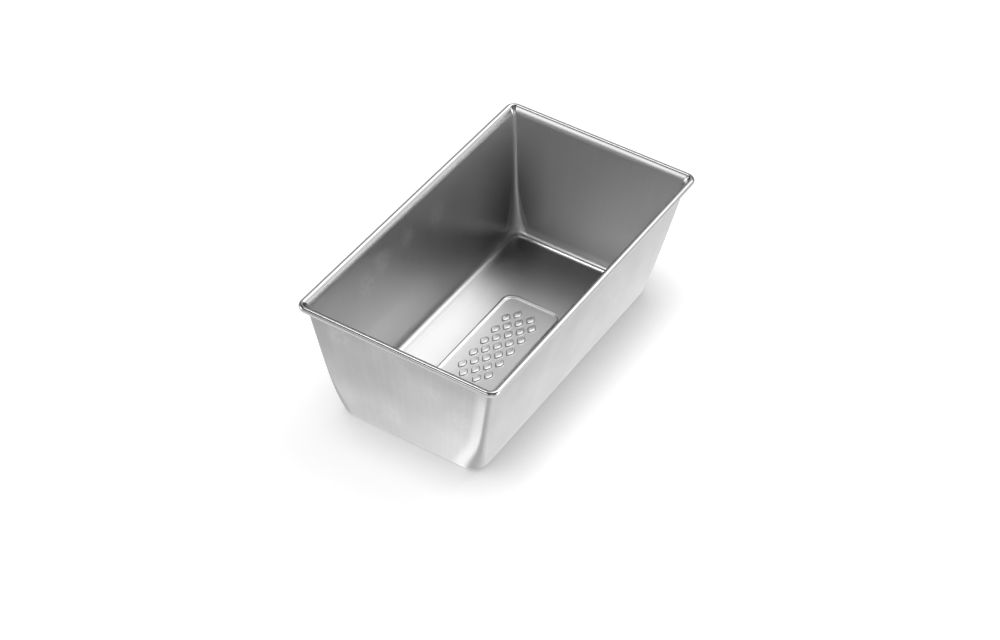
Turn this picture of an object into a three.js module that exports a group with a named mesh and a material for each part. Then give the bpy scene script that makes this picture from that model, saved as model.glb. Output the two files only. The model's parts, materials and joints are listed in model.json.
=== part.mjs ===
// Mini loaf pan: one blank of aluminised steel sheet, drawn to depth, its edge curled round a wire.
// Millimetres. X runs along the pan, Y across it and Z up. The origin is the middle of the underside.
import * as THREE from "three";
import { mergeGeometries, mergeVertices } from "three/addons/utils/BufferGeometryUtils.js";

const { degToRad } = THREE.MathUtils;

// Overall sizes: over the rim bead, and from the underside to the top of the bead
const RIM_LENGTH = 146;
const RIM_WIDTH = 83.3;
const PAN_HEIGHT = 54.2;

// Sheet, walls and the bend between wall and floor
const SHEET = 0.5;
const WALL_DRAFT = degToRad(9.1); // lean of the walls from upright
const FLOOR_FILLET = 2.2; // inside radius

// Plan radii of the drawn corners on the food side: tight under the rim, opening out towards the floor
const CORNER_AT_RIM = 1.6;
const CORNER_AT_FLOOR = 7; // of the flat floor's outline
const CORNER_SPREAD = 6; // the higher it is, the closer to the floor the corner opens out

// Curled rim: the wall bends out a little below the top, then the sheet wraps the wire
const RIM_BEND = 6; // radius of that soft bend, on the food side
const RIM_LEAN = degToRad(40); // lean from upright where the bend meets the curl
const CURL_TURN = degToRad(230); // from the top of the rim to the sheet's free edge
const WIRE_DIAMETER = 1.2;
const WIRE_CORNER = 2.9; // plan radius of the wire's middle line
const WIRE_CLEARANCE = 0.1; // between wire and curl
const WIRE_END_GAP = 0.6; // between the butted ends of the wire

// Pressed panel in the middle of the floor: a fine bead round a field of lozenges
const PANEL_LENGTH = 58;
const PANEL_WIDTH = 26;
const PANEL_CORNER = 5;
const BEAD_WIDTH = 1.8;
const PRESS_RISE = 0.4; // height of the bead and of the lozenges
const LOZENGE_LENGTH = 6.4;
const LOZENGE_WIDTH = 4.4;
const LOZENGE_SLOPE = 0.8; // width of the sloping border, along X
const LOZENGE_GAP = 1.4; // between neighbours, along X and along Y
const FIELD_MARGIN = 1.6; // between the bead and the outermost lozenges

// Facets
const CORNER_STEPS = 3; // pairs of facets in a plan corner
const FILLET_STEPS = 5;
const WALL_STEPS = 7;
const BEND_STEPS = 3;
const CURL_STEPS = 3; // in each of the curl's quarters
const WIRE_SIDES = 10;

// Sizes that follow from these
const beadRadius = WIRE_DIAMETER / 2 + WIRE_CLEARANCE + SHEET;
const wireHeight = PAN_HEIGHT - beadRadius;
const bendHeight = wireHeight - (RIM_BEND - beadRadius) * Math.sin(RIM_LEAN);
const bendInset = beadRadius - (RIM_BEND - beadRadius) * Math.cos(RIM_LEAN);
const filletHeight = SHEET + FLOOR_FILLET;
const wallTop = bendHeight + RIM_BEND * Math.sin(WALL_DRAFT);
const wallFoot = filletHeight - FLOOR_FILLET * Math.sin(WALL_DRAFT);
const wallTopInset = bendInset + RIM_BEND * Math.cos(WALL_DRAFT);
const curlCorner = WIRE_CORNER - beadRadius * Math.cos(RIM_LEAN);
const wallFootInset = wallTopInset + (wallTop - wallFoot) * Math.tan(WALL_DRAFT);
const filletInset = wallFootInset + FLOOR_FILLET * Math.cos(WALL_DRAFT);

// A level outline with round corners, as points that run anticlockwise seen from above
function outline(length, width, corner, z) {
  const x = length / 2 - corner;
  const y = width / 2 - corner;
  const path = new THREE.Path();
  path.absarc(x, y, corner, 0, Math.PI / 2);
  path.absarc(-x, y, corner, Math.PI / 2, Math.PI);
  path.absarc(-x, -y, corner, Math.PI, 1.5 * Math.PI);
  path.absarc(x, -y, corner, 1.5 * Math.PI, 2 * Math.PI);
  return path.getPoints(CORNER_STEPS).map((p) => new THREE.Vector3(p.x, p.y, z));
}

// The outline that lies an inset inside the rim's outer face
function ring(inset, corner, z) {
  return outline(RIM_LENGTH - 2 * inset, RIM_WIDTH - 2 * inset, corner, z);
}

// Plan radius of the drawn corners at a height on the food side
function cornerAt(z) {
  const share = (z - SHEET) / (wallTop - SHEET);
  return CORNER_AT_RIM + (CORNER_AT_FLOOR - CORNER_AT_RIM) * (1 - share) ** CORNER_SPREAD;
}

// Evenly spaced values from a start to an end, both included
function spaced(start, end, steps) {
  return Array.from({ length: steps + 1 }, (_, i) => start + ((end - start) * i) / steps);
}

// Rings of the sheet from the pressed panel's edge to the free edge of the curl, on one face of the sheet:
// depth 0 is the food side, and depth SHEET the outside
function sheetFace(depth) {
  return [
    ...panelBead(depth).reverse(),
    ...floorFillet(depth),
    ...wall(depth),
    ...rimBend(depth),
    ...rimCurl(depth),
  ];
}

// The bead round the pressed panel, from its outer foot to its inner foot
function panelBead(depth) {
  const floor = SHEET - depth;
  const level = (inset, rise) =>
    outline(PANEL_LENGTH - 2 * inset, PANEL_WIDTH - 2 * inset, PANEL_CORNER - inset, floor + rise);
  return [
    level(0, 0),
    level(BEAD_WIDTH / 3, PRESS_RISE),
    level((BEAD_WIDTH * 2) / 3, PRESS_RISE),
    level(BEAD_WIDTH, 0),
  ];
}

// The bend from the floor up into the walls
function floorFillet(depth) {
  const radius = FLOOR_FILLET + depth;
  return spaced(Math.PI / 2, WALL_DRAFT, FILLET_STEPS).map((turn) =>
    ring(
      filletInset - radius * Math.cos(turn),
      cornerAt(filletHeight - FLOOR_FILLET * Math.sin(turn)) + depth * Math.cos(turn),
      filletHeight - radius * Math.sin(turn),
    ),
  );
}

// The straight part of the walls, between the two bends. Its corners tighten on the way up.
function wall(depth) {
  const shift = depth * Math.cos(WALL_DRAFT);
  const drop = depth * Math.sin(WALL_DRAFT);
  return spaced(0, 1, WALL_STEPS)
    .slice(1, -1)
    .map((step) => {
      const share = step ** 2;
      const inset = wallFootInset + (wallTopInset - wallFootInset) * share;
      const height = wallFoot + (wallTop - wallFoot) * share;
      return ring(inset - shift, cornerAt(height) + shift, height - drop);
    });
}

// The soft bend from the walls outwards, up to the curl
function rimBend(depth) {
  const radius = RIM_BEND - depth;
  return spaced(WALL_DRAFT, RIM_LEAN, BEND_STEPS).map((turn) => {
    const share = (turn - WALL_DRAFT) / (RIM_LEAN - WALL_DRAFT);
    const corner = CORNER_AT_RIM + (curlCorner - CORNER_AT_RIM) * share;
    return ring(
      bendInset + radius * Math.cos(turn),
      corner + depth * Math.cos(turn),
      bendHeight + radius * Math.sin(turn),
    );
  });
}

// The curl round the wire, over the top of the rim to the sheet's free edge
function rimCurl(depth) {
  const radius = beadRadius - depth;
  const side = Math.PI / 2;
  const turns = [
    ...spaced(RIM_LEAN - side, 0, CURL_STEPS),
    ...spaced(0, side, CURL_STEPS).slice(1),
    ...spaced(side, CURL_TURN, 2 * CURL_STEPS).slice(1),
  ];
  return turns.slice(1).map((turn) =>
    ring(
      beadRadius - radius * Math.sin(turn),
      WIRE_CORNER + radius * Math.sin(turn),
      wireHeight + radius * Math.cos(turn),
    ),
  );
}

// Corners of a lozenge, anticlockwise
function lozenge(x, y, length, width) {
  return [
    new THREE.Vector2(x + length / 2, y),
    new THREE.Vector2(x, y + width / 2),
    new THREE.Vector2(x - length / 2, y),
    new THREE.Vector2(x, y - width / 2),
  ];
}

// Centres of the lozenges: a staggered field, as many as fit inside the bead
function lozengeCentres() {
  const pitchX = (LOZENGE_LENGTH + LOZENGE_GAP) / 2;
  const pitchY = (LOZENGE_WIDTH + LOZENGE_GAP) / 2;
  const reachX = PANEL_LENGTH / 2 - BEAD_WIDTH - FIELD_MARGIN - LOZENGE_LENGTH / 2;
  const reachY = PANEL_WIDTH / 2 - BEAD_WIDTH - FIELD_MARGIN - LOZENGE_WIDTH / 2;
  const columns = Math.floor(reachX / pitchX);
  const rows = Math.floor(reachY / pitchY);
  const centres = [];
  for (let row = -rows; row <= rows; row += 1) {
    for (let column = -columns; column <= columns; column += 1) {
      if ((row + column) % 2 === 0) centres.push([column * pitchX, row * pitchY]);
    }
  }
  return centres;
}

// A geometry from points and the triangles between them
function geometryOf(points, triangles) {
  const geometry = new THREE.BufferGeometry().setFromPoints(points);
  return geometry.setIndex(triangles.flat());
}

// The skin between neighbouring rings of equal count. It faces up where the rings widen.
function skin(rings) {
  const count = rings[0].length;
  const triangles = [];
  for (let i = 0; i + 1 < rings.length; i += 1) {
    for (let j = 0; j < count; j += 1) {
      const next = (j + 1) % count;
      const [a, b, c, d] = [i * count + j, (i + 1) * count + j, (i + 1) * count + next, i * count + next];
      triangles.push([a, b, c], [a, c, d]);
    }
  }
  return geometryOf(rings.flat(), triangles);
}

// A flat face inside a ring, with holes, that faces up
function flatFace(contour, holes, z) {
  const points = [contour, ...holes].flat();
  const facesUp = ([a, b, c]) => THREE.ShapeUtils.area([points[a], points[b], points[c]]) > 0;
  const triangles = THREE.ShapeUtils.triangulateShape(contour, holes).map((t) =>
    facesUp(t) ? t : [t[0], t[2], t[1]],
  );
  return geometryOf(points.map((p) => new THREE.Vector3(p.x, p.y, z)), triangles);
}

// The field inside the panel's bead, on one face of the sheet: flat land and raised lozenges, facing up
function panelField(depth) {
  const land = SHEET - depth;
  const slopeY = (LOZENGE_SLOPE * LOZENGE_WIDTH) / LOZENGE_LENGTH;
  const contour = panelBead(depth).at(-1).map((p) => new THREE.Vector2(p.x, p.y));
  const feet = [];
  const raised = [];
  for (const [x, y] of lozengeCentres()) {
    const foot = lozenge(x, y, LOZENGE_LENGTH, LOZENGE_WIDTH);
    const top = lozenge(x, y, LOZENGE_LENGTH - 2 * LOZENGE_SLOPE, LOZENGE_WIDTH - 2 * slopeY);
    const at = (corners, z) => corners.map((p) => new THREE.Vector3(p.x, p.y, z));
    feet.push(foot);
    raised.push(skin([at(top, land + PRESS_RISE), at(foot, land)]));
    raised.push(flatFace(top, [], land + PRESS_RISE));
  }
  return mergeGeometries([flatFace(contour, feet, land), ...raised]);
}

// The same geometry with its faces turned round
function turned(geometry) {
  const index = geometry.getIndex().array;
  for (let i = 0; i < index.length; i += 3) [index[i + 1], index[i + 2]] = [index[i + 2], index[i + 1]];
  return geometry;
}

// The drawn sheet: out over the food side to the curl's free edge, and back along the outside
function panShell() {
  const sheet = skin([...sheetFace(0), ...sheetFace(SHEET).reverse()]);
  return mergeVertices(mergeGeometries([sheet, panelField(0), turned(panelField(SHEET))]));
}

// Round sections of the wire along the rim, from one butted end to the other, on the rim's back side
function wireSections() {
  const x = RIM_LENGTH / 2 - beadRadius - WIRE_CORNER;
  const y = RIM_WIDTH / 2 - beadRadius - WIRE_CORNER;
  const section = (centreX, centreY, facing) =>
    spaced(0, 2 * Math.PI, WIRE_SIDES)
      .slice(0, -1)
      .map((turn) => {
        const reach = WIRE_CORNER + (WIRE_DIAMETER / 2) * Math.cos(turn);
        return new THREE.Vector3(
          centreX + reach * Math.cos(facing),
          centreY + reach * Math.sin(facing),
          wireHeight + (WIRE_DIAMETER / 2) * Math.sin(turn),
        );
      });
  const bend = (centreX, centreY, start) =>
    spaced(start, start + Math.PI / 2, 2 * CORNER_STEPS).map((facing) => section(centreX, centreY, facing));
  return [
    section(-WIRE_END_GAP / 2, y, Math.PI / 2),
    ...bend(-x, y, Math.PI / 2),
    ...bend(-x, -y, Math.PI),
    ...bend(x, -y, 1.5 * Math.PI),
    ...bend(x, y, 2 * Math.PI),
    section(WIRE_END_GAP / 2, y, 2.5 * Math.PI),
  ];
}

// The rim wire: a bent length of round wire with flat ends
function rimWire() {
  const sections = wireSections();
  const fan = spaced(1, WIRE_SIDES - 2, WIRE_SIDES - 3).map((i) => [0, i, i + 1]);
  const start = geometryOf(sections[0], fan);
  const end = turned(geometryOf(sections.at(-1), fan));
  return mergeVertices(mergeGeometries([skin(sections), start, end]));
}

function piece(name, geometry, look) {
  geometry.computeVertexNormals();
  const mesh = new THREE.Mesh(geometry, new THREE.MeshStandardMaterial(look));
  mesh.name = name;
  return mesh;
}

const pan = new THREE.Group();
pan.add(piece("pan_shell", panShell(), { color: 0xc4c6c7, roughness: 0.3, metalness: 1 }));
pan.add(piece("rim_wire", rimWire(), { color: 0x8f9193, roughness: 0.4, metalness: 1 }));

export default pan;
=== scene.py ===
# Mini loaf pan: a drawn sheet-metal shell with a wired rim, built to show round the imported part.
# Metres. X runs along the pan, Y across it and Z up. The origin is the middle of the underside.
import json
import math

import bpy
from mathutils import Matrix, Vector

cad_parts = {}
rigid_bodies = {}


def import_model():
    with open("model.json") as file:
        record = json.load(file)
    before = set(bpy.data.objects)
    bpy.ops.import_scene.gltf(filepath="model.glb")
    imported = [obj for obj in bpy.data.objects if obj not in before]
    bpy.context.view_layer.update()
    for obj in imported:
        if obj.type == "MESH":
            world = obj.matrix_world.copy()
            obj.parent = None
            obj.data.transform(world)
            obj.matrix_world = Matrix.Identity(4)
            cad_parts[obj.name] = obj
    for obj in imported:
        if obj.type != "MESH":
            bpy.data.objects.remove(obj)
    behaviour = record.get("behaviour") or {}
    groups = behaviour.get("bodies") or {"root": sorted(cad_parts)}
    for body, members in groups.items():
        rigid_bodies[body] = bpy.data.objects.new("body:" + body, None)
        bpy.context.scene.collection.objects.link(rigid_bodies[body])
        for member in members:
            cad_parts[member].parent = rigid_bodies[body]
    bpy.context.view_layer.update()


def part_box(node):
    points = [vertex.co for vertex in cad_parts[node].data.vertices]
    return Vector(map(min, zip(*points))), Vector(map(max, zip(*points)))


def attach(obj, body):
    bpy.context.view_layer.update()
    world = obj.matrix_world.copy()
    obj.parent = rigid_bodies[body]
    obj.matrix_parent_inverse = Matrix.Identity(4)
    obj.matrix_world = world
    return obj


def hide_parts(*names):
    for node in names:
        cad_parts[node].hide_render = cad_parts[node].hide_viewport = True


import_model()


# Pan shell
# One blank of bright aluminised steel sheet, drawn to depth in one go, so floor, walls and corners have no
# seam. Under the rim the sheet bends outwards, and its edge is curled round the wire, which it grips.
MM = 0.001
shell_low, shell_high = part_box("pan_shell")
rim_length, rim_width, pan_height = shell_high - shell_low
SHEET = 0.5 * MM
WALL_DRAFT = math.radians(9.1)  # lean of the walls from upright
FLOOR_FILLET = 2.2 * MM  # inside radius between floor and walls
CORNER_AT_RIM = 1.6 * MM  # plan radii of the drawn corners, on the food side
CORNER_AT_FLOOR = 7 * MM
CORNER_SPREAD = 6  # the higher it is, the closer to the floor the corners open out
RIM_BEND = 6 * MM
RIM_LEAN = math.radians(40)  # lean of the sheet where the bend meets the curl
CURL_TURN = math.radians(230)  # from the top of the rim to the sheet's free edge
WIRE_RADIUS = 0.6 * MM
WIRE_CORNER = 2.9 * MM  # plan radius of the wire's middle line
WIRE_CLEARANCE = 0.1 * MM

bead_radius = WIRE_RADIUS + WIRE_CLEARANCE + SHEET
wire_height = pan_height - bead_radius
bend_height = wire_height - (RIM_BEND - bead_radius) * math.sin(RIM_LEAN)
bend_inset = bead_radius - (RIM_BEND - bead_radius) * math.cos(RIM_LEAN)
fillet_height = SHEET + FLOOR_FILLET
wall_top = bend_height + RIM_BEND * math.sin(WALL_DRAFT)
wall_foot = fillet_height - FLOOR_FILLET * math.sin(WALL_DRAFT)
wall_top_inset = bend_inset + RIM_BEND * math.cos(WALL_DRAFT)
wall_foot_inset = wall_top_inset + (wall_top - wall_foot) * math.tan(WALL_DRAFT)
fillet_inset = wall_foot_inset + FLOOR_FILLET * math.cos(WALL_DRAFT)
curl_corner = WIRE_CORNER - bead_radius * math.cos(RIM_LEAN)


def shares(steps):
    """Evenly spaced shares from just above 0 to 1."""
    return [(i + 1) / steps for i in range(steps)]


def between(start, end, share):
    return start + (end - start) * share


def new_piece(name):
    """An empty mesh object at the origin, open in edit mode with edges as what is selected."""
    bpy.ops.object.select_all(action="DESELECT")
    piece = bpy.data.objects.new(name, bpy.data.meshes.new(name))
    bpy.context.collection.objects.link(piece)
    bpy.context.view_layer.objects.active = piece
    piece.select_set(True)
    bpy.ops.object.mode_set(mode="EDIT")
    bpy.ops.mesh.select_mode(type="EDGE")
    return piece


def select_open_edges():
    """Selects loose loops of edges and the free edges of faces."""
    bpy.ops.mesh.select_non_manifold(
        extend=False, use_wire=True, use_boundary=True, use_multi_face=False,
        use_non_contiguous=False, use_verts=False,
    )


CORNER_STEPS = 14


def add_outline(length, width, corner, height):
    """A level loop of edges with round corners."""
    bpy.ops.mesh.primitive_plane_add(size=1, location=(0, 0, height))
    bpy.ops.transform.resize(value=(length, width, 1))
    bpy.ops.mesh.bevel(affect="VERTICES", offset=corner, segments=CORNER_STEPS)
    bpy.ops.mesh.delete(type="ONLY_FACE")


JOIN_LIFT = 1 * MM


def draw_to(length, width, corner, height):
    """Takes the sheet on from its open edge to another outline, which is let down into place once joined,
    because two loops that lie in one plane join crosswise."""
    add_outline(length, width, corner, height + JOIN_LIFT)
    select_open_edges()
    bpy.ops.mesh.bridge_edge_loops()
    select_open_edges()
    bpy.ops.transform.translate(value=(0, 0, -JOIN_LIFT))


def draw_to_ring(inset, corner, height):
    """Takes the sheet on to the outline that lies an inset inside the rim's outer face."""
    draw_to(rim_length - 2 * inset, rim_width - 2 * inset, corner, height)


def press(share):
    """Notes on the selected vertices how far they are pressed up, as a share of the full rise."""
    bpy.context.tool_settings.vertex_group_weight = share
    bpy.ops.object.vertex_group_assign()


pan = new_piece("drawn_pan")
pan.vertex_groups.new(name="pressed")

# A lozenge, pressed up from the floor with soft edges
LOZENGE_LENGTH = 6.4 * MM
LOZENGE_WIDTH = 4.4 * MM
LOZENGE_TIP = 1.4 * MM  # how far from its corners its sides begin to round off
LOZENGE_SLOPE = 0.5 * MM
LOZENGE_MARGIN = 0.12 * MM  # flat border that keeps the land's shading level
PRESS_RISE = 0.4 * MM
PRESS_STEPS = 8
bpy.ops.mesh.primitive_circle_add(
    vertices=4, radius=LOZENGE_LENGTH / 2 + LOZENGE_MARGIN, fill_type="NGON", location=(0, 0, SHEET)
)
bpy.ops.transform.resize(value=(1, LOZENGE_WIDTH / LOZENGE_LENGTH, 1))
bpy.ops.mesh.bevel(affect="VERTICES", offset=LOZENGE_TIP, segments=PRESS_STEPS)
bpy.ops.mesh.select_linked()
bpy.ops.mesh.inset(thickness=LOZENGE_MARGIN, depth=0)
for share in shares(PRESS_STEPS):
    bpy.ops.mesh.inset(thickness=LOZENGE_SLOPE / PRESS_STEPS, depth=0)
    press(share * share * (3 - 2 * share))
bpy.ops.mesh.select_linked()

# The staggered field of lozenges, with flat land between them, inside the panel's bead
FIELD_COLUMNS = 5  # on each side of the middle
FIELD_ROWS = 2
LOZENGE_GAP = 1.4 * MM
pitch_x = (LOZENGE_LENGTH + LOZENGE_GAP) / 2
pitch_y = (LOZENGE_WIDTH + LOZENGE_GAP) / 2
last_centre = Vector((0, 0, 0))
for row in range(-FIELD_ROWS, FIELD_ROWS + 1):
    for column in range(-FIELD_COLUMNS, FIELD_COLUMNS + 1):
        centre = Vector((column * pitch_x, row * pitch_y, 0))
        if (row + column) % 2 == 0 and centre.length > 0:
            bpy.ops.mesh.duplicate_move(TRANSFORM_OT_translate={"value": centre - last_centre})
            last_centre = centre

# The bead round the panel, pressed up from the floor too
PANEL_LENGTH = 58 * MM
PANEL_WIDTH = 26 * MM
PANEL_CORNER = 5 * MM
BEAD_WIDTH = 1.8 * MM
BEAD_STEPS = 10
FLAT_MARGIN = 0.4 * MM  # between a bend and the first outline on the flat beside it


def panel_size(inset):
    return PANEL_LENGTH - 2 * inset, PANEL_WIDTH - 2 * inset, PANEL_CORNER - inset


add_outline(*panel_size(BEAD_WIDTH + FLAT_MARGIN), SHEET)
select_open_edges()
bpy.ops.mesh.fill(use_beauty=True)
draw_to(*panel_size(BEAD_WIDTH), SHEET)
for share in shares(BEAD_STEPS):
    draw_to(*panel_size(BEAD_WIDTH * (1 - share)), SHEET)
    press(math.sin(math.pi * share) ** 2)
draw_to(*panel_size(-FLAT_MARGIN), SHEET)

# Floor, fillet, walls, the bend under the rim and the curl, each from the one before
FILLET_STEPS = 12
WALL_STEPS = 16
BEND_STEPS = 8
CURL_STEPS = 8  # in each of three stretches


def corner_at(height):
    """Plan radius of the drawn corners at a height on the food side."""
    share = (height - SHEET) / (wall_top - SHEET)
    return between(CORNER_AT_FLOOR, CORNER_AT_RIM, 1 - (1 - share) ** CORNER_SPREAD)


draw_to_ring(fillet_inset + FLAT_MARGIN, CORNER_AT_FLOOR, SHEET)
draw_to_ring(fillet_inset, CORNER_AT_FLOOR, SHEET)
for share in shares(FILLET_STEPS):
    turn = between(math.pi / 2, WALL_DRAFT, share)
    height = fillet_height - FLOOR_FILLET * math.sin(turn)
    draw_to_ring(fillet_inset - FLOOR_FILLET * math.cos(turn), corner_at(height), height)
for share in shares(WALL_STEPS):
    height = between(wall_foot, wall_top, share ** 2)
    draw_to_ring(between(wall_foot_inset, wall_top_inset, share ** 2), corner_at(height), height)
for share in shares(BEND_STEPS):
    turn = between(WALL_DRAFT, RIM_LEAN, share)
    draw_to_ring(
        bend_inset + RIM_BEND * math.cos(turn),
        between(CORNER_AT_RIM, curl_corner, share),
        bend_height + RIM_BEND * math.sin(turn),
    )
curl_stops = [RIM_LEAN - math.pi / 2, 0, math.pi / 2, CURL_TURN]
for start, end in zip(curl_stops, curl_stops[1:]):
    for share in shares(CURL_STEPS):
        turn = between(start, end, share)
        draw_to_ring(
            bead_radius * (1 - math.sin(turn)),
            WIRE_CORNER + bead_radius * math.sin(turn),
            wire_height + bead_radius * math.cos(turn),
        )
bpy.ops.mesh.select_all(action="SELECT")
bpy.ops.mesh.remove_doubles(threshold=0.001 * MM)
bpy.ops.mesh.normals_make_consistent(inside=False)
bpy.ops.object.mode_set(mode="OBJECT")
bpy.ops.object.material_slot_add()  # the food side and the bead
bpy.ops.object.material_slot_add()  # the outside
bpy.ops.object.modifier_add(type="SOLIDIFY")
pan.modifiers["Solidify"].material_offset = 1
pan.modifiers["Solidify"].thickness = SHEET
pan.modifiers["Solidify"].offset = -1
pan.modifiers["Solidify"].use_quality_normals = True
bpy.ops.object.modifier_apply(modifier="Solidify")
bpy.ops.object.modifier_add(type="DISPLACE")
pan.modifiers["Displace"].direction = "Z"
pan.modifiers["Displace"].mid_level = 0
pan.modifiers["Displace"].strength = PRESS_RISE
pan.modifiers["Displace"].vertex_group = "pressed"
bpy.ops.object.modifier_apply(modifier="Displace")
SMOOTH_ANGLE = math.radians(40)
bpy.ops.object.shade_smooth_by_angle(angle=SMOOTH_ANGLE)
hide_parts("pan_shell")
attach(pan, "root")

# What the finishes of the two faces share: where the corners are, draw lines, the sheet's grain, hand marks


def node(tree, kind, inputs, **settings):
    """Adds a shader node and gives each named input a value or another node's output."""
    made = tree.nodes.new("ShaderNode" + kind)
    for name, value in settings.items():
        setattr(made, name, value)
    for socket, value in inputs.items():
        if isinstance(value, bpy.types.NodeSocket):
            tree.links.new(value, made.inputs[socket])
        else:
            made.inputs[socket].default_value = value
    return made


def reckon(tree, operation, *values):
    """The result of a Math node."""
    return node(tree, "Math", dict(enumerate(values)), operation=operation).outputs[0]


def ease(tree, value, start, end, low=0, high=1):
    """Goes smoothly from low, where the value is at its start, to high, where it is at its end."""
    limits = {"Value": value, "From Min": start, "From Max": end, "To Min": low, "To Max": high}
    return node(tree, "MapRange", limits, interpolation_type="SMOOTHSTEP").outputs["Result"]


def overlap(tree, *masks):
    """A mask of where all the given masks meet."""
    meeting = masks[0]
    for mask in masks[1:]:
        meeting = reckon(tree, "MULTIPLY", meeting, mask)
    return meeting


def blend(tree, start, *parts):
    """A start value, moved up or down by each part times its weight."""
    total = start
    for part, weight in parts:
        total = reckon(tree, "MULTIPLY_ADD", part, weight, total)
    return total


def noise(tree, place, size, detail):
    """Cloudy noise from 0 to 1, with features of about the given size."""
    return node(tree, "TexNoise", {"Vector": place, "Scale": 1 / size, "Detail": detail}).outputs["Fac"]


def new_group(name, inputs, outputs):
    """A shader node group, with what comes into it and what goes out of it."""
    group = bpy.data.node_groups.new(name, "ShaderNodeTree")
    for socket, kind in inputs.items():
        group.interface.new_socket(socket, in_out="INPUT", socket_type="NodeSocket" + kind)
    for socket in outputs:
        group.interface.new_socket(socket, in_out="OUTPUT", socket_type="NodeSocketFloat")
    return group, group.nodes.new("NodeGroupInput").outputs, group.nodes.new("NodeGroupOutput").inputs


foot_x = rim_length / 2 - wall_top_inset - wall_top * math.tan(WALL_DRAFT)
foot_y = rim_width / 2 - wall_top_inset - wall_top * math.tan(WALL_DRAFT)

# How far a place lies past the end of the flat wall, into a corner: along the long walls and the short ones
corner_group, given, result = new_group("drawn_corner", {"Vector": "Vector"}, ["Past Long", "Past Short"])
place = node(corner_group, "SeparateXYZ", {"Vector": given["Vector"]}).outputs
below_rim = ease(corner_group, place["Z"], SHEET, wall_top, 1, 0)
opening = reckon(corner_group, "POWER", below_rim, CORNER_SPREAD)
radius = reckon(corner_group, "MULTIPLY_ADD", opening, CORNER_AT_FLOOR - CORNER_AT_RIM, CORNER_AT_RIM)
lean = reckon(corner_group, "MULTIPLY", place["Z"], math.tan(WALL_DRAFT))
spread = reckon(corner_group, "SUBTRACT", lean, radius)
for socket, axis, foot in (("Past Long", "X", foot_x), ("Past Short", "Y", foot_y)):
    flat_end = reckon(corner_group, "ADD", spread, foot)
    away = reckon(corner_group, "ABSOLUTE", place[axis])
    corner_group.links.new(reckon(corner_group, "SUBTRACT", away, flat_end), result[socket])

# Fine lines left by drawing, stretched along the way that the metal moved
STREAK_EDGE = 0.3, 0.7  # the levels of the noise between which a line begins and is full
lines_group, given, result = new_group(
    "draw_lines", {"Vector": "Vector", "Stretch": "Vector", "Spacing": "Float"}, ["Lines"]
)
stretched = node(lines_group, "VectorMath", {0: given["Vector"], 1: given["Stretch"]}, operation="MULTIPLY")
fineness = reckon(lines_group, "DIVIDE", 1, given["Spacing"])
streaks = node(
    lines_group, "TexNoise", {"Vector": stretched.outputs[0], "Scale": fineness, "Detail": 3}
).outputs["Fac"]
lines_group.links.new(ease(lines_group, streaks, *STREAK_EDGE), result["Lines"])

# Lines up the walls and along the floor, soft clouds, a few specks, and a height in millimetres
LINE_SPACING = 1.1 * MM
UP_THE_WALL = (1, 1, 0.02)  # the lines are long where this is small
ALONG_THE_FLOOR = (0.03, 1, 1)
CLOUD_SIZE = 17 * MM
SPECK_PITCH = 9 * MM
SPECK_SIZE = 0.35 * MM
WAVE_SIZE = 30 * MM
WAVE_RISE = 0.1  # mm
PEEL_SIZE = 1.6 * MM
PEEL_RISE = 0.0022  # mm
LINE_RISE = 0.0003  # mm
grain_group, given, result = new_group(
    "sheet_grain", {"Vector": "Vector"}, ["Lines", "Clouds", "Specks", "Height"]
)
place = node(grain_group, "SeparateXYZ", {"Vector": given["Vector"]}).outputs
fanned = {"Z": place["Z"]}
for axis, foot in (("X", foot_x), ("Y", foot_y)):
    fan = reckon(grain_group, "MULTIPLY_ADD", place["Z"], math.tan(WALL_DRAFT) / foot, 1)
    fanned[axis] = reckon(grain_group, "DIVIDE", place[axis], fan)
fanned_place = node(grain_group, "CombineXYZ", fanned).outputs["Vector"]
lines = {"Spacing": LINE_SPACING, "Vector": fanned_place, "Stretch": UP_THE_WALL}
wall_lines = node(grain_group, "Group", lines, node_tree=lines_group).outputs["Lines"]
lines = {"Spacing": LINE_SPACING, "Vector": given["Vector"], "Stretch": ALONG_THE_FLOOR}
floor_lines = node(grain_group, "Group", lines, node_tree=lines_group).outputs["Lines"]
on_floor = ease(grain_group, place["Z"], SHEET, fillet_height, 1, 0)
all_lines = node(
    grain_group, "Mix", {"Factor": on_floor, "A": wall_lines, "B": floor_lines}, data_type="FLOAT"
).outputs["Result"]
specks = node(
    grain_group, "TexVoronoi", {"Vector": given["Vector"], "Scale": 1 / SPECK_PITCH}
).outputs["Distance"]
waves = noise(grain_group, given["Vector"], WAVE_SIZE, detail=1)
peel = noise(grain_group, given["Vector"], PEEL_SIZE, detail=2)
height = blend(grain_group, 0, (waves, WAVE_RISE), (peel, PEEL_RISE), (all_lines, LINE_RISE))
grain_group.links.new(all_lines, result["Lines"])
grain_group.links.new(noise(grain_group, given["Vector"], CLOUD_SIZE, detail=5), result["Clouds"])
grain_group.links.new(ease(grain_group, specks, SPECK_SIZE / SPECK_PITCH, 0), result["Specks"])
grain_group.links.new(height, result["Height"])

# The smudge that a fingertip leaves, patchy and soft at its edge
SMUDGE_EDGE = 1.1, 0.15  # where it begins and is full, in its own sizes from its middle
SMUDGE_PATCH = 2 * MM
PATCH_EDGE = 0.2, 0.8  # the levels of the noise between which a patch begins and is full
mark_group, given, result = new_group(
    "hand_mark", {"Vector": "Vector", "Place": "Vector", "Size": "Float"}, ["Mask"]
)
away = node(mark_group, "VectorMath", {0: given["Vector"], 1: given["Place"]}, operation="DISTANCE")
away = reckon(mark_group, "DIVIDE", away.outputs["Value"], given["Size"])
patches = ease(mark_group, noise(mark_group, given["Vector"], SMUDGE_PATCH, detail=2), *PATCH_EDGE)
smudge = overlap(mark_group, ease(mark_group, away, *SMUDGE_EDGE), patches)
mark_group.links.new(smudge, result["Mask"])


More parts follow.
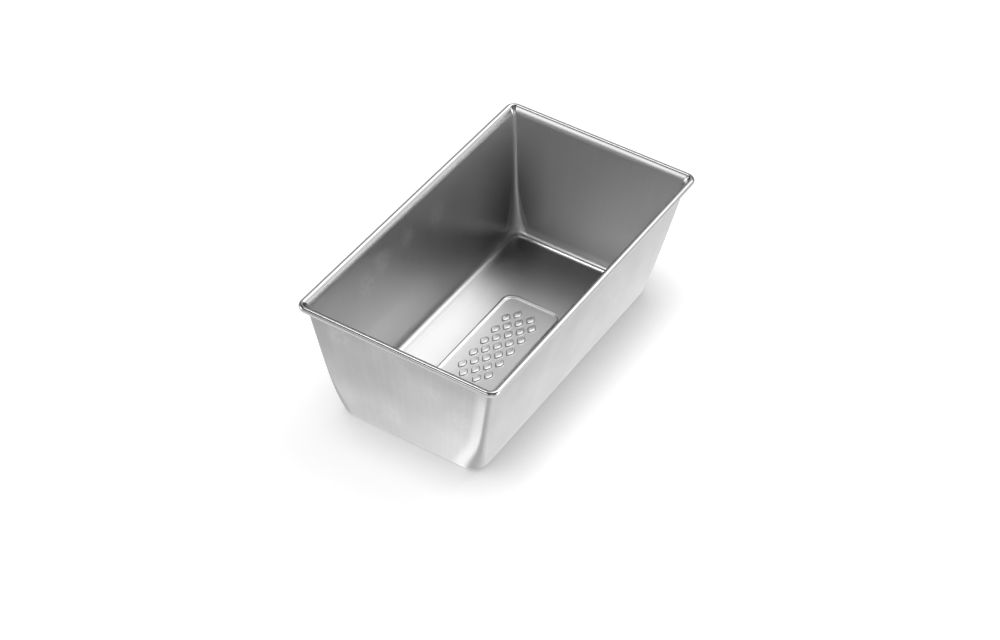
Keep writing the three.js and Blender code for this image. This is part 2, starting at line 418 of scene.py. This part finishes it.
def all_marks(tree, vector, marks):
    """Every hand mark in a list of places and sizes, as one mask."""
    mask = 0
    for spot, size in marks:
        mark = node(tree, "Group", {"Vector": vector, "Place": spot, "Size": size}, node_tree=mark_group)
        mask = reckon(tree, "MAXIMUM", mark.outputs["Mask"], mask)
    return mask


def new_metal(name):
    """A material of bare metal, with its node tree, its shader and the place on the piece."""
    metal = bpy.data.materials.new(name)
    metal.use_nodes = True
    tree = metal.node_tree
    shader = tree.nodes["Principled BSDF"]
    shader.inputs["Metallic"].default_value = 1
    return metal, tree, shader, tree.nodes.new("ShaderNodeTexCoord").outputs["Object"]


def paint(tree, shader, colours, shade, roughness, height):
    """Feeds the shader a shade between two colours, a roughness and a height in millimetres."""
    dark, light = colours
    mixed = node(tree, "Mix", {"Factor": shade}, data_type="RGBA")
    mixed.inputs["A"].default_value = (*dark, 1)
    mixed.inputs["B"].default_value = (*light, 1)
    bump = node(tree, "Bump", {"Height": height, "Distance": MM})
    tree.links.new(mixed.outputs["Result"], shader.inputs["Base Color"])
    tree.links.new(roughness, shader.inputs["Roughness"])
    tree.links.new(bump.outputs["Normal"], shader.inputs["Normal"])


# The food side, under a thin baked release glaze. Its colour is painted lighter up the walls towards the
# rim, with painted shade on the far end of the floor and low in the far corner of the back long wall, and a
# painted highlight along the short fillets. The bead has no glaze, and the curling dies have polished it.
GLAZE_COLOURS = (0.22, 0.22, 0.22), (0.72, 0.72, 0.72)
GLAZE_ROUGHNESS = 0.31
BEAD_ROUGHNESS = 0.17
LONG_FILLET_ROUGHNESS = 0.42
SHORT_FILLET_ROUGHNESS = 0.3


def left_wall(x, z):
    """A place on the food side of the back long wall, in millimetres along and up."""
    height = z * MM
    return x * MM, foot_y + height * math.tan(WALL_DRAFT), height


food_marks = [
    (left_wall(12, 40), 6.5 * MM),
    (left_wall(-8, 42), 5.5 * MM),
    (left_wall(-24, 42), 6.5 * MM),
    (left_wall(-35, 39), 7 * MM),
]
food_side, tree, shader, spot = new_metal("glazed_food_side")
grain = node(tree, "Group", {"Vector": spot}, node_tree=grain_group).outputs
corner = node(tree, "Group", {"Vector": spot}, node_tree=corner_group).outputs
place = node(tree, "SeparateXYZ", {"Vector": spot}).outputs
height_up = place["Z"]
handled = all_marks(tree, spot, food_marks)

# Each of these pairs says where a zone of the food side begins and where it is full
FILLET_TOP = 5.5 * MM, 3.2 * MM
LONG_FILLET_EDGE = -1.2 * MM, 0.6 * MM  # past the end of the flat floor
SHORT_FILLET_EDGE = -0.2 * MM, 0.6 * MM
POLISHED = wall_top + 1.2 * MM, wire_height + 0.6 * MM
PAINTED_WALL_LIGHT = -10 * MM, 30 * MM
FLOOR_SHADE_X = 28 * MM, 58 * MM
FLOOR_SHADE_TOP = 2.5 * MM, 1.2 * MM
CORNER_SHADE_X = 30 * MM, 60 * MM
CORNER_SHADE_Y = 15 * MM, 33 * MM
CORNER_SHADE_TOP = 50 * MM, 12 * MM
CORNER_SHADE_FOOT = 3 * MM, 7 * MM
BESIDE_ARC = 0.3 * MM, -0.5 * MM
past_x = reckon(tree, "SUBTRACT", reckon(tree, "ABSOLUTE", place["X"]), foot_x - FLOOR_FILLET)
past_y = reckon(tree, "SUBTRACT", reckon(tree, "ABSOLUTE", place["Y"]), foot_y - FLOOR_FILLET)
low_down = ease(tree, height_up, *FILLET_TOP)
long_fillet = overlap(tree, low_down, ease(tree, past_y, *LONG_FILLET_EDGE))
off_long_fillet = reckon(tree, "SUBTRACT", 1, long_fillet)
short_fillet = overlap(tree, low_down, ease(tree, past_x, *SHORT_FILLET_EDGE), off_long_fillet)
off_short_fillet = reckon(tree, "SUBTRACT", 1, short_fillet)
polished = ease(tree, height_up, *POLISHED)
# Painted light: the food side is lighter up the walls, towards the rim
painted_light_up_walls = ease(tree, height_up, *PAINTED_WALL_LIGHT)
# Painted shade: the far end of the floor is darker
painted_floor_shade = overlap(
    tree,
    ease(tree, place["X"], *FLOOR_SHADE_X),
    ease(tree, height_up, *FLOOR_SHADE_TOP),
    off_short_fillet,
)
in_corner = reckon(tree, "MINIMUM", corner["Past Long"], corner["Past Short"])
# Painted shade: low on the walls in the far corner of the back long wall
painted_corner_shade = overlap(
    tree,
    ease(tree, place["X"], *CORNER_SHADE_X),
    ease(tree, place["Y"], *CORNER_SHADE_Y),
    ease(tree, height_up, *CORNER_SHADE_TOP),
    ease(tree, height_up, *CORNER_SHADE_FOOT),
    ease(tree, in_corner, *BESIDE_ARC),
)

# A plain value, and how far each zone or grain lightens or roughens it, or the other way below 0
shade = blend(
    tree, 0.54,
    (grain["Lines"], 0.025),
    (grain["Clouds"], 0.085),
    (polished, -0.39),
    (handled, 0.28),
    (painted_light_up_walls, 0.24),
    (painted_floor_shade, -0.5),
    (painted_corner_shade, -0.55),
    # Lighter along the short fillets: a painted highlight; their lower roughness is the metal's own
    (short_fillet, 0.36),
)
roughness = blend(
    tree, GLAZE_ROUGHNESS - 0.05,
    (grain["Clouds"], 0.06),
    (grain["Lines"], 0.02),
    (grain["Specks"], 0.2),
    (handled, 0.1),
    (polished, BEAD_ROUGHNESS - GLAZE_ROUGHNESS),
    (long_fillet, LONG_FILLET_ROUGHNESS - GLAZE_ROUGHNESS),
    (short_fillet, SHORT_FILLET_ROUGHNESS - GLAZE_ROUGHNESS),
)
paint(tree, shader, GLAZE_COLOURS, shade, roughness, grain["Height"])
pan.material_slots[0].material = food_side

# The outside, left bare. The corner arcs are a little smoother, and their colour is darkened as a painted
# reflection. The walls are painted lighter towards the bottom. The near short wall has a few scuffs, painted
# shade at one end, and a painted light patch and highlight stripe by its corner on the -Y side.
OUTSIDE_COLOURS = (0.3, 0.3, 0.3), (0.95, 0.95, 0.95)
OUTSIDE_ROUGHNESS = 0.34


def near_wall(y, z):
    """A place on the outside of the near short wall, in millimetres across and up."""
    height = z * MM
    return -foot_x - SHEET - height * math.tan(WALL_DRAFT), y * MM, height


outside_marks = [
    (near_wall(25, 45), 7 * MM),
    (near_wall(5, 13), 6 * MM),
    (near_wall(-14, 36), 6 * MM),
    (near_wall(-25, 28), 7 * MM),
]
outside, tree, shader, spot = new_metal("bare_outside")
grain = node(tree, "Group", {"Vector": spot}, node_tree=grain_group).outputs
corner = node(tree, "Group", {"Vector": spot}, node_tree=corner_group).outputs
place = node(tree, "SeparateXYZ", {"Vector": spot}).outputs
scuffed = all_marks(tree, spot, outside_marks)

# Each of these pairs says where a zone of the outside begins and where it is full
ARC_START = 0, math.radians(28)  # turned from the long wall towards the short one
ARC_END = math.radians(75), math.radians(32)
ARC_FOOT = 0, 0.5 * MM
NEAR_END_X = -20 * MM, -50 * MM
NEAR_END_EDGE = 0, 0.7 * MM
END_SHADE_Y = -5 * MM, 38 * MM
END_SHADE_Z = 0, 50 * MM
CORNER_LIGHT_Y = 12 * MM, -28 * MM
CORNER_LIGHT_Z = 52 * MM, 14 * MM
CORNER_LIGHT_TURN = math.radians(50), math.radians(10)
STRIPE_Z = 55 * MM, 40 * MM
STRIPE_EDGE = -5 * MM, -1.2 * MM
turned = reckon(tree, "ARCTAN2", corner["Past Short"], corner["Past Long"])
on_arc = overlap(
    tree,
    ease(tree, turned, *ARC_START),
    ease(tree, turned, *ARC_END),
    ease(tree, place["Z"], *ARC_FOOT),
)
# Painted light: the outside is lighter towards the bottom of the walls
painted_light_low = ease(tree, place["Z"], wall_top, 0)
near_end = overlap(
    tree, ease(tree, place["X"], *NEAR_END_X), ease(tree, corner["Past Long"], *NEAR_END_EDGE)
)
# Painted shade: the near short wall is darker towards its +Y end and its top
painted_end_shade = overlap(tree, near_end, ease(tree, place["Y"], *END_SHADE_Y), ease(tree, place["Z"], *END_SHADE_Z))
# Painted light by the near wall's corner on the -Y side: a lighter patch low down, and a highlight stripe
near_corner = overlap(
    tree, near_end, ease(tree, place["Y"], *CORNER_LIGHT_Y), ease(tree, turned, *CORNER_LIGHT_TURN)
)
painted_corner_light = overlap(tree, near_corner, ease(tree, place["Z"], *CORNER_LIGHT_Z))
# Painted highlight: a bright stripe on the near wall just before the corner arc
painted_highlight_stripe = overlap(
    tree,
    near_corner,
    ease(tree, place["Z"], *STRIPE_Z),
    ease(tree, corner["Past Short"], *STRIPE_EDGE),
)

# A plain value, and how far each zone or grain lightens or roughens it, or the other way below 0
shade = blend(
    tree, 0.075,
    (grain["Lines"], 0.03),
    (painted_end_shade, -0.2),
    (scuffed, 0.11),
    (grain["Clouds"], 0.3),
    (painted_light_low, 0.24),
    (painted_corner_light, 0.25),
    (painted_highlight_stripe, 0.3),
)
# Painted reflection: the corner arcs are darkened
painted_arc_shade = blend(tree, 1, (on_arc, -0.85))
shade = reckon(tree, "MULTIPLY", shade, painted_arc_shade)
roughness = blend(
    tree, OUTSIDE_ROUGHNESS - 0.05,
    (grain["Clouds"], 0.06),
    (grain["Lines"], 0.02),
    (grain["Specks"], 0.2),
    (on_arc, -0.1),
)
paint(tree, shader, OUTSIDE_COLOURS, shade, roughness, grain["Height"])
pan.material_slots[1].material = outside


# Rim wire
# One length of drawn steel wire, bent to the rim's outline, with its ends butted in the middle of the back
# side. Only the curled sheet holds it, and it shows as a line in the curl's open side, seen from below.
WIRE_SIDES = 20
WIRE_END_GAP = 0.6 * MM
WIRE_BEND_STEPS = 14
bend_x = rim_length / 2 - bead_radius - WIRE_CORNER
bend_y = rim_width / 2 - bead_radius - WIRE_CORNER
wire = new_piece("rim_hoop")
bpy.ops.mesh.primitive_circle_add(
    vertices=WIRE_SIDES, radius=WIRE_RADIUS, rotation=(0, math.pi / 2, 0),
    location=(-WIRE_END_GAP / 2, bend_y + WIRE_CORNER, wire_height),
)
runs = [
    (-bend_x + WIRE_END_GAP / 2, 0),
    (0, -2 * bend_y),
    (2 * bend_x, 0),
    (0, 2 * bend_y),
]
bends = [(-bend_x, bend_y), (-bend_x, -bend_y), (bend_x, -bend_y), (bend_x, bend_y)]
for run, bend in zip(runs, bends):
    bpy.ops.mesh.extrude_edges_move(TRANSFORM_OT_translate={"value": (*run, 0)})
    bpy.ops.mesh.spin(
        steps=WIRE_BEND_STEPS, angle=math.pi / 2, center=(*bend, wire_height), axis=(0, 0, -1)
    )
bpy.ops.mesh.extrude_edges_move(TRANSFORM_OT_translate={"value": (-bend_x + WIRE_END_GAP / 2, 0, 0)})
select_open_edges()
bpy.ops.mesh.fill_holes(sides=0)
bpy.ops.mesh.select_all(action="SELECT")
bpy.ops.mesh.remove_doubles(threshold=0.001 * MM)
bpy.ops.mesh.normals_make_consistent(inside=False)
bpy.ops.object.mode_set(mode="OBJECT")
bpy.ops.object.shade_smooth_by_angle(angle=SMOOTH_ANGLE)
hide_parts("rim_wire")
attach(wire, "root")

# Plain drawn steel, greyer than the sheet, with die lines along its length
WIRE_COLOURS = (0.3, 0.3, 0.31), (0.52, 0.52, 0.53)
WIRE_ROUGHNESS = 0.34
WIRE_LINES = 0.14 * MM
ALONG_THE_WIRE = (0.01, 0.01, 1)
WIRE_LINE_RISE = 0.002  # mm
STAIN_SIZE = 6 * MM
drawn_wire, tree, shader, spot = new_metal("drawn_wire")
lines = {"Vector": spot, "Stretch": ALONG_THE_WIRE, "Spacing": WIRE_LINES}
lines = node(tree, "Group", lines, node_tree=lines_group).outputs["Lines"]
stain = noise(tree, spot, STAIN_SIZE, detail=3)
shade = blend(tree, 0, (stain, 0.6), (lines, 0.4))
roughness = blend(tree, WIRE_ROUGHNESS - 0.1, (stain, 0.2))
height = reckon(tree, "MULTIPLY", lines, WIRE_LINE_RISE)
paint(tree, shader, WIRE_COLOURS, shade, roughness, height)
wire.data.materials.append(drawn_wire)


# Studio
# A plain pale table that glows, with a soft shadow where the pan stands on it, large soft panels all round,
# and the camera where the photograph was taken.
FLOOR_SIZE = 8
bpy.ops.object.select_all(action="DESELECT")
bpy.ops.mesh.primitive_plane_add(size=FLOOR_SIZE)
floor = bpy.context.object
floor.name = "studio_floor"
PAPER_COLOUR = (0.45, 0.45, 0.45, 1)
PAPER_ROUGHNESS = 0.9
PAPER_GLOW = 0.72  # lit from below too, as a product table is
SHADOW_REACH = 20 * MM
SHADOW_SAMPLES = 8
brightest_way = Vector((-0.5, 0.5, 1)).normalized()  # the shadow falls away from it
paper = bpy.data.materials.new("white_table")
paper.use_nodes = True
tree = paper.node_tree
shader = tree.nodes["Principled BSDF"]
shader.inputs["Base Color"].default_value = PAPER_COLOUR
shader.inputs["Roughness"].default_value = PAPER_ROUGHNESS
shader.inputs["Specular IOR Level"].default_value = 0
shader.inputs["Emission Color"].default_value = (1, 1, 1, 1)
leaning = node(tree, "CombineXYZ", dict(zip("XYZ", brightest_way))).outputs["Vector"]
shaded = node(
    tree, "AmbientOcclusion", {"Distance": SHADOW_REACH, "Normal": leaning}, samples=SHADOW_SAMPLES
).outputs["AO"]
seen = node(tree, "LightPath", {}).outputs["Is Camera Ray"]
lit = node(tree, "Mix", {"Factor": seen, "A": 1.0, "B": shaded}, data_type="FLOAT").outputs["Result"]
tree.links.new(reckon(tree, "MULTIPLY", lit, PAPER_GLOW), shader.inputs["Emission Strength"])
floor.data.materials.append(paper)

# Soft panels far off: degrees round the table and up, how bright, and how sharply each one ends
panels = {
    "behind": (-2, 61, 4.7, 24),
    "back_right": (328, 40, 2.8, 24),
    "right": (285, 3, 9.5, 25),
    "left": (116, 10, 4.2, 22),
    "front": (166, 29, 3.3, 34),
    "low_front": (220, 3, 1.9, 25),
    "back_left": (44, 31, 0.8, 20),
    "strip": (86, 67, 8, 160),
    "room": (235, 45, 0.35, 12),
    "fill": (312, 20, 0.8, 25),
}
BACKDROP_WHITE = 1.0  # what the camera sees past the table
world = bpy.data.worlds.new("studio")
bpy.context.scene.world = world
world.use_nodes = True
sky = world.node_tree
looking = sky.nodes.new("ShaderNodeTexCoord").outputs["Generated"]
light = 0
for azimuth, elevation, strength, tightness in panels.values():
    level = math.cos(math.radians(elevation))
    way = Vector((
        level * math.cos(math.radians(azimuth)),
        level * math.sin(math.radians(azimuth)),
        math.sin(math.radians(elevation)),
    ))
    facing = node(sky, "VectorMath", {0: looking, 1: way}, operation="DOT_PRODUCT").outputs["Value"]
    falloff = reckon(sky, "MULTIPLY_ADD", facing, tightness, -tightness)
    light = blend(sky, light, (reckon(sky, "EXPONENT", falloff), strength))
seen = node(sky, "LightPath", {}).outputs["Is Camera Ray"]
light = node(
    sky, "Mix", {"Factor": seen, "A": light, "B": BACKDROP_WHITE}, data_type="FLOAT"
).outputs["Result"]
background = sky.nodes["Background"]
background.inputs["Color"].default_value = (1, 1, 1, 1)
sky.links.new(light, background.inputs["Strength"])
bpy.context.scene.view_settings.view_transform = "Standard"

# The camera, turned round the pan's middle from the long side, then raised, rolled and moved back
CAMERA_AZIMUTH = math.radians(-60.347)
CAMERA_ELEVATION = math.radians(41.999)
CAMERA_ROLL = math.radians(3.225)
CAMERA_DISTANCE = 916.8 * MM
CAMERA_TARGET = Vector((-4.156 * MM, -2.855 * MM, 18.532 * MM))
CAMERA_LENS = 88.534  # mm
bpy.ops.object.camera_add()
camera = bpy.context.object
camera.data.lens = CAMERA_LENS
turn = Matrix.Rotation(CAMERA_AZIMUTH, 4, "Z")
tilt = Matrix.Rotation(math.pi / 2 - CAMERA_ELEVATION, 4, "X")
roll = Matrix.Rotation(CAMERA_ROLL, 4, "Z")
reach = Matrix.Translation((0, 0, CAMERA_DISTANCE))
camera.matrix_world = Matrix.Translation(CAMERA_TARGET) @ turn @ tilt @ roll @ reach
bpy.context.scene.camera = camera
